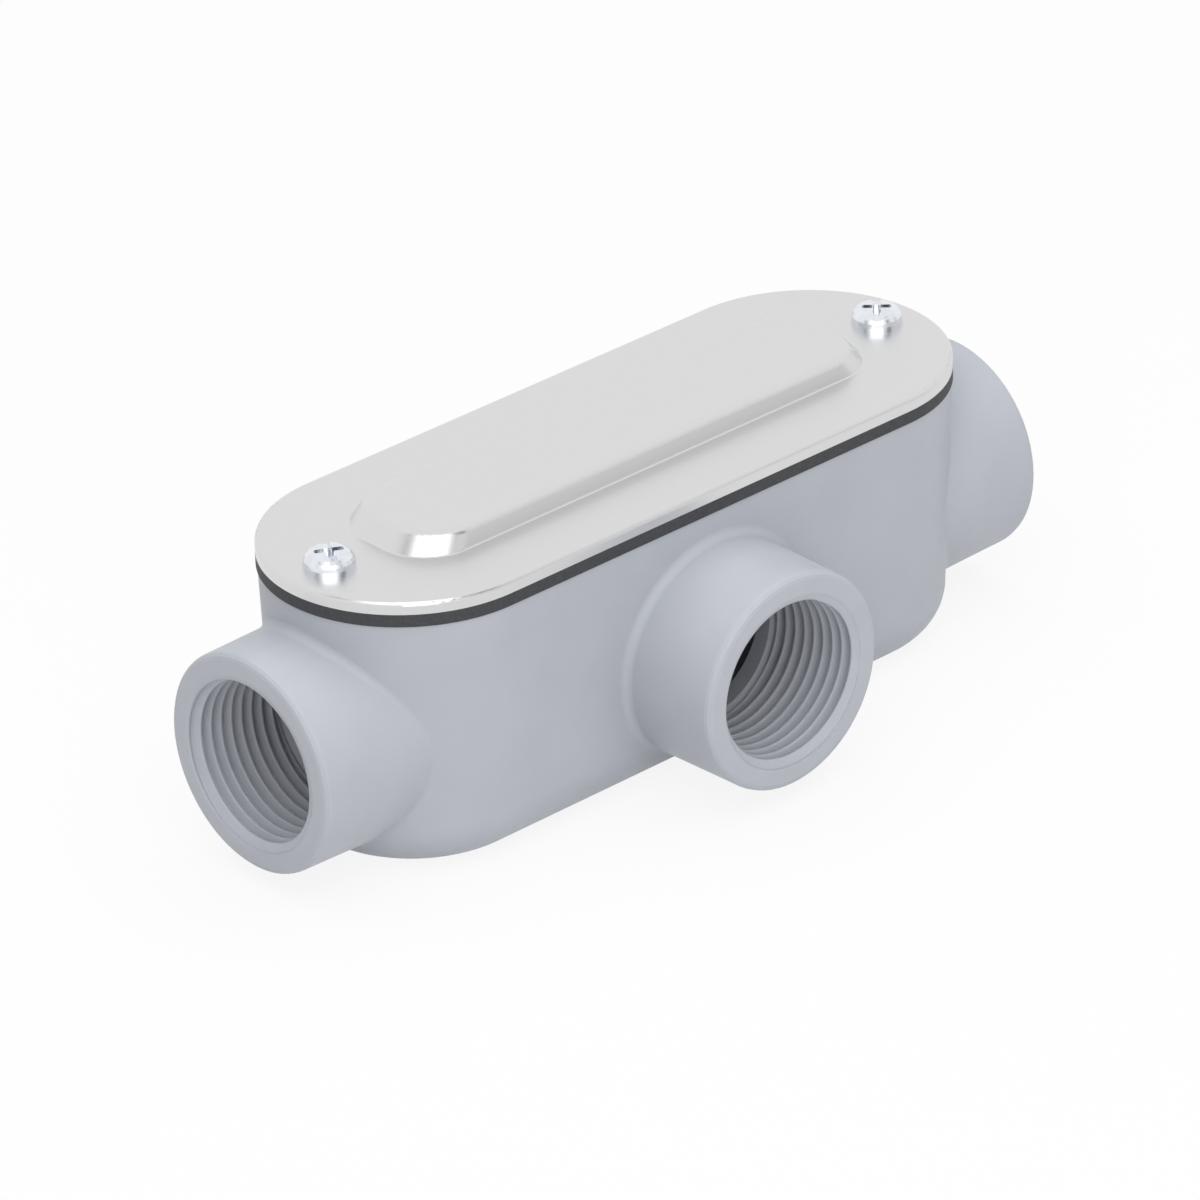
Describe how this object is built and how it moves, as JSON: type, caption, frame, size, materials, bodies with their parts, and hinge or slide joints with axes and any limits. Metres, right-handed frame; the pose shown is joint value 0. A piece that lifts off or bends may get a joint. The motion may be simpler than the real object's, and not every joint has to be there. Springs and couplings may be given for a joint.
{
  "type": "conduit body",
  "caption": "Cast T-pattern conduit body with threaded hubs and a gasketed sheet cover held by screws; wires are pulled through it.",
  "frame": {"origin": "centre of the flat back face", "axes": "+X along the straight run from the left end hub to the right one, -Y towards the side hub, +Z from the back face up to the cover"},
  "size_m": [0.1382, 0.0579, 0.047],
  "materials": {
    "housing_paint": "satin grey powder coat on die-cast aluminium",
    "gasket_rubber": "matt black sheet",
    "cover_sheet": "satin, pressed, bare",
    "screw_zinc": "bright zinc plate"
  },
  "bodies": {
    "root": {"housing": "housing_paint", "gasket": "gasket_rubber", "cover": "cover_sheet", "cover_screw_left": "screw_zinc", "cover_screw_right": "screw_zinc"}
  },
  "joints": []
}
